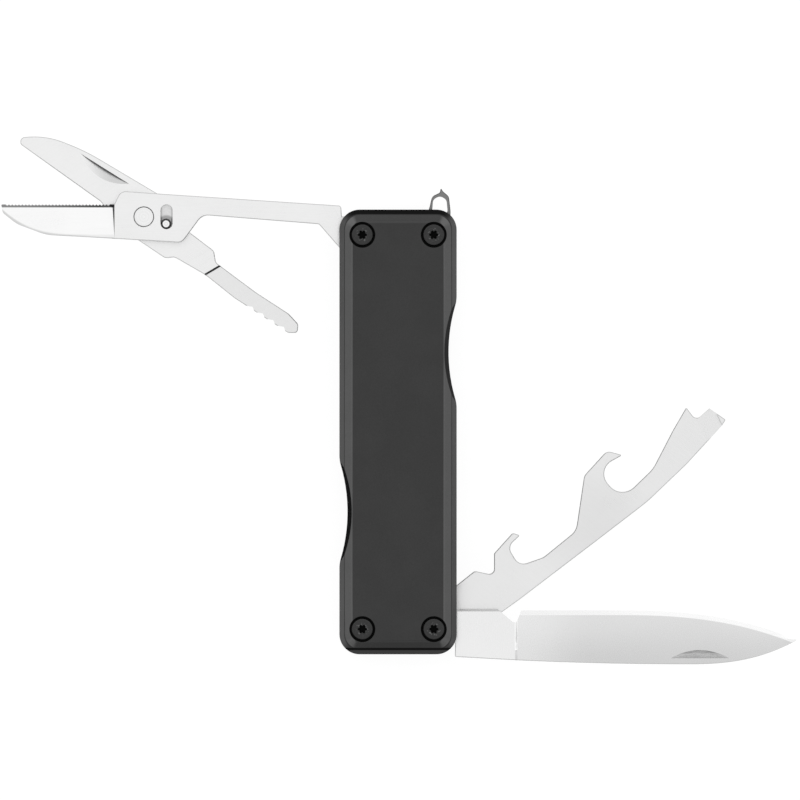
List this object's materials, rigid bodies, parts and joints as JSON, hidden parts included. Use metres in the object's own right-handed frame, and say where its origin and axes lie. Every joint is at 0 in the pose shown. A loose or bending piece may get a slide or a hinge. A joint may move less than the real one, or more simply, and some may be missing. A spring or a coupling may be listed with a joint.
{
  "type": "multi tool",
  "caption": "Slim pocket multi tool with black scales: folding knife, spring scissors, bottle opener with hook and flat driver, and a swinging lanyard loop, shown open.",
  "frame": {"origin": "centre of the rear scale's flat outer face", "axes": "+Z out of the front scale, Y along the handle with the scissors and lanyard end at +Y, X across the handle with the knife folding out towards +X"},
  "size_m": [0.118, 0.0784, 0.0093],
  "materials": {
    "anodised_black": "black anodised over fine bead blasting",
    "black_screw": "black oxide, slightly glossy",
    "liner_steel": "rolled stainless sheet",
    "blade_steel": "satin ground with a polished edge bevel",
    "tool_steel": "fine satin",
    "spring_steel": "hardened, semi-matte",
    "pin_steel": "turned and polished",
    "loop_steel": "tumbled stainless",
    "bronze": "phosphor bronze sheet"
  },
  "bodies": {
    "handle": {"front_scale": "anodised_black", "rear_scale": "anodised_black", "front_liner": "liner_steel", "rear_liner": "liner_steel", "front_screws": "black_screw", "rear_screws": "black_screw", "knife_pivot_post": "pin_steel", "scissor_pivot_post": "pin_steel", "lanyard_post": "pin_steel", "spring_post": "pin_steel", "layer_washers": "bronze", "front_spring": "spring_steel", "rear_spring": "spring_steel", "scissor_spacer": "pin_steel"},
    "knife": {"knife_blade": "blade_steel"},
    "opener": {"combo_opener": "tool_steel"},
    "scissors": {"scissor_frame": "tool_steel", "scissor_rivet": "pin_steel", "scissor_return_spring": "spring_steel"},
    "scissor_jaw": {"scissor_blade": "tool_steel", "scissor_limit_pin": "pin_steel"},
    "loop": {"lanyard_loop": "loop_steel"}
  },
  "joints": [
    {"name": "knife_fold", "type": "hinge", "parent": "handle", "child": "knife", "pos_m": [0.0053, -0.02925, 0.00555], "axis": [0, 0, 1], "range_deg": [0, 90]},
    {"name": "opener_fold", "type": "hinge", "parent": "handle", "child": "opener", "pos_m": [0.0053, -0.02925, 0.00375], "axis": [0, 0, 1], "range_deg": [-40, 50]},
    {"name": "scissor_fold", "type": "hinge", "parent": "handle", "child": "scissors", "pos_m": [-0.0053, 0.02925, 0.00555], "axis": [0, 0, 1], "range_deg": [0, 93.7]},
    {"name": "scissor_cut", "type": "hinge", "parent": "scissors", "child": "scissor_jaw", "pos_m": [-0.03775, 0.03195, 0.00475], "axis": [0, 0, 1], "range_deg": [0, 30], "stiffness_Nm_per_rad": 0.02, "springref_deg": -20.05},
    {"name": "loop_swing", "type": "hinge", "parent": "handle", "child": "loop", "pos_m": [0.0053, 0.02925, 0.00375], "axis": [0, 0, 1], "range_deg": [-80, 90]}
  ]
}
